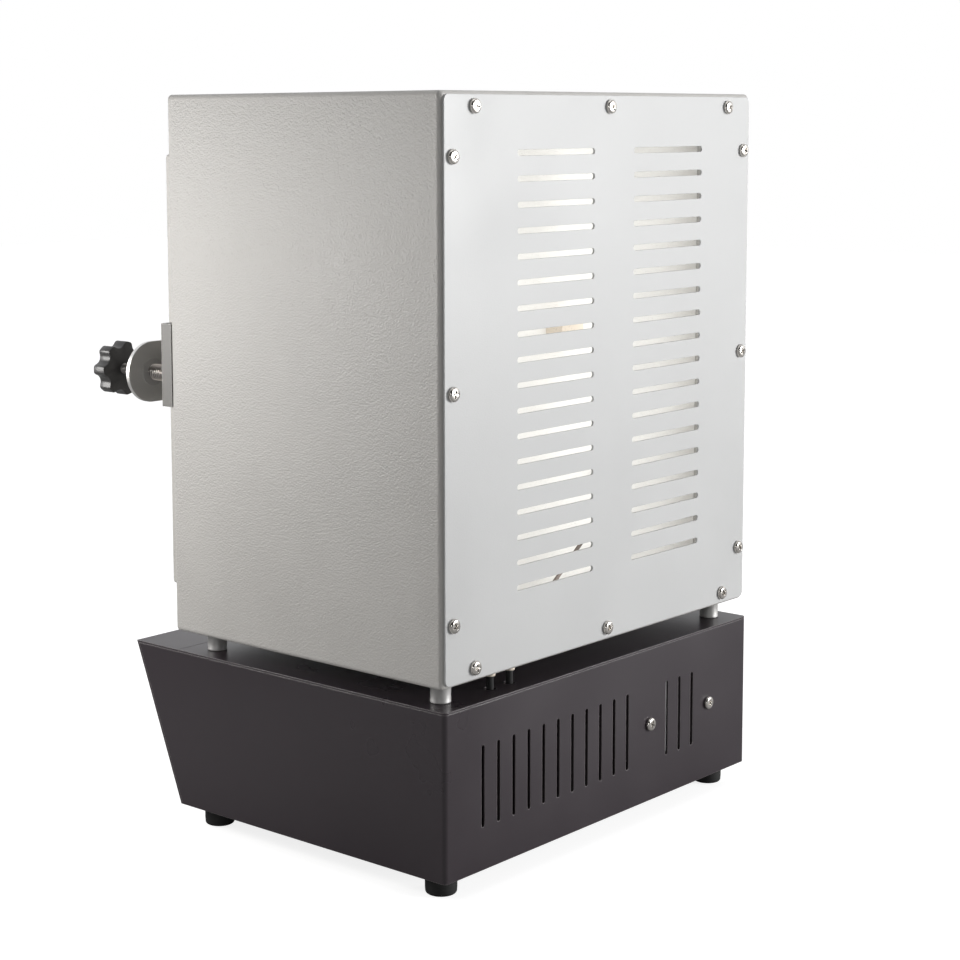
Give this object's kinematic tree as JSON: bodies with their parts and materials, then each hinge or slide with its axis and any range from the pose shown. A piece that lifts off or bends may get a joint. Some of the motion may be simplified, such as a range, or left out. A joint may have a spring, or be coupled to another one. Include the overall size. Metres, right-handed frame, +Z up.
{
  "type": "jewellery kiln",
  "caption": "Front-loading jewellery kiln: sheet-steel casing with a slotted rear cover, on spacer posts over a control base, with a hinged door and a turn clamp.",
  "frame": {"origin": "middle of the kiln's bounding box in X and Y, on the plane that the feet stand on", "axes": "+Z up; the door faces -Y, the slotted rear cover faces +Y and the latch is on the +X side"},
  "size_m": [0.361, 0.3252, 0.515],
  "materials": {
    "casing_grey": "fine-textured powder coat",
    "cover_grey": "smooth light powder coat",
    "base_black": "satin black powder coat",
    "nickel_screw": "bright nickel plate",
    "plated_steel": "zinc plate",
    "latch_grey": "dark grey enamel",
    "spring_steel": "drawn wire",
    "post_aluminium": "satin turned",
    "foot_rubber": "matt",
    "knob_black": "moulded phenolic",
    "fired_ceramic": "fired, unglazed",
    "fibre_board": "ceramic fibre board",
    "heating_wire": "oxidised resistance wire",
    "panel_plastic": "moulded",
    "window_smoke": "smoked",
    "button_plastic": "moulded",
    "rocker_red": "gloss",
    "lamp_red": "translucent",
    "sink_aluminium": "extruded",
    "relay_white": "moulded",
    "handle_black": "moulded phenolic"
  },
  "bodies": {
    "kiln": {"casing_shell": "casing_grey", "back_cover": "cover_grey", "back_cover_screws": "nickel_screw", "front_plate": "plated_steel", "muffle": "fired_ceramic", "heating_element": "heating_wire", "insulation_floor": "fibre_board", "insulation_roof": "fibre_board", "insulation_walls": "fibre_board", "insulation_rear": "fibre_board", "thermocouple": "fired_ceramic", "lead_bushings": "fired_ceramic", "spacer_posts": "post_aluminium", "post_bolts": "plated_steel", "base_shell": "base_black", "base_top_plate": "base_black", "base_front_panel": "base_black", "base_bottom_plate": "base_black", "feet": "foot_rubber", "foot_screws": "plated_steel", "base_back_screws": "nickel_screw", "hinge_brackets": "latch_grey", "hinge_pins": "plated_steel", "hinge_screws": "nickel_screw", "latch_bracket": "latch_grey", "latch_screws": "plated_steel", "latch_spring": "spring_steel", "controller_case": "panel_plastic", "controller_window": "window_smoke", "switch_body": "panel_plastic", "lamp_bezel": "plated_steel", "lamp_lens": "lamp_red", "heat_sink": "sink_aluminium", "solid_state_relay": "relay_white", "terminal_block": "panel_plastic", "mains_inlet": "panel_plastic"},
    "door": {"door_shell": "casing_grey", "door_brick": "fibre_board", "door_handle": "handle_black", "handle_screw": "plated_steel", "hinge_lugs": "latch_grey"},
    "clamp": {"clamp_plate": "latch_grey", "spring_washer": "plated_steel"},
    "stud": {"latch_stud": "plated_steel"},
    "knob": {"star_knob": "knob_black"},
    "rocker": {"switch_rocker": "rocker_red"},
    "button_set": {"button_set": "button_plastic"},
    "button_shift": {"button_shift": "button_plastic"},
    "button_down": {"button_down": "button_plastic"},
    "button_up": {"button_up": "button_plastic"}
  },
  "joints": [
    {"name": "door_swing", "type": "hinge", "parent": "kiln", "child": "door", "pos_m": [-0.164, -0.10605, 0.32], "axis": [0, 0, -1], "range_deg": [0, 115]},
    {"name": "clamp_turn", "type": "hinge", "parent": "kiln", "child": "clamp", "pos_m": [0.159, -0.12255, 0.321], "axis": [0, 1, 0], "range_deg": [0, 180]},
    {"name": "knob_travel", "type": "slide", "parent": "kiln", "child": "stud", "axis": [0, 1, 0], "range_m": [0, 0.02625]},
    {"name": "knob_spin", "type": "hinge", "parent": "stud", "child": "knob", "pos_m": [0.159, -0.1506, 0.321], "axis": [0, 1, 0], "range_deg": [0, 7560]},
    {"name": "switch_rock", "type": "hinge", "parent": "kiln", "child": "rocker", "pos_m": [0.105, -0.10972, 0.07087], "axis": [1, 0, 0], "range_deg": [0, 16]},
    {"name": "button_set_press", "type": "slide", "parent": "kiln", "child": "button_set", "axis": [0, 0.9296, 0.3685], "range_m": [0, 0.0009], "stiffness_N_per_m": 1200},
    {"name": "button_shift_press", "type": "slide", "parent": "kiln", "child": "button_shift", "axis": [0, 0.9296, 0.3685], "range_m": [0, 0.0009], "stiffness_N_per_m": 1200},
    {"name": "button_down_press", "type": "slide", "parent": "kiln", "child": "button_down", "axis": [0, 0.9296, 0.3685], "range_m": [0, 0.0009], "stiffness_N_per_m": 1200},
    {"name": "button_up_press", "type": "slide", "parent": "kiln", "child": "button_up", "axis": [0, 0.9296, 0.3685], "range_m": [0, 0.0009], "stiffness_N_per_m": 1200}
  ],
  "couplings": [
    {"joint": "knob_spin", "follows": "knob_travel", "rad_per_m": 5026.5}
  ]
}
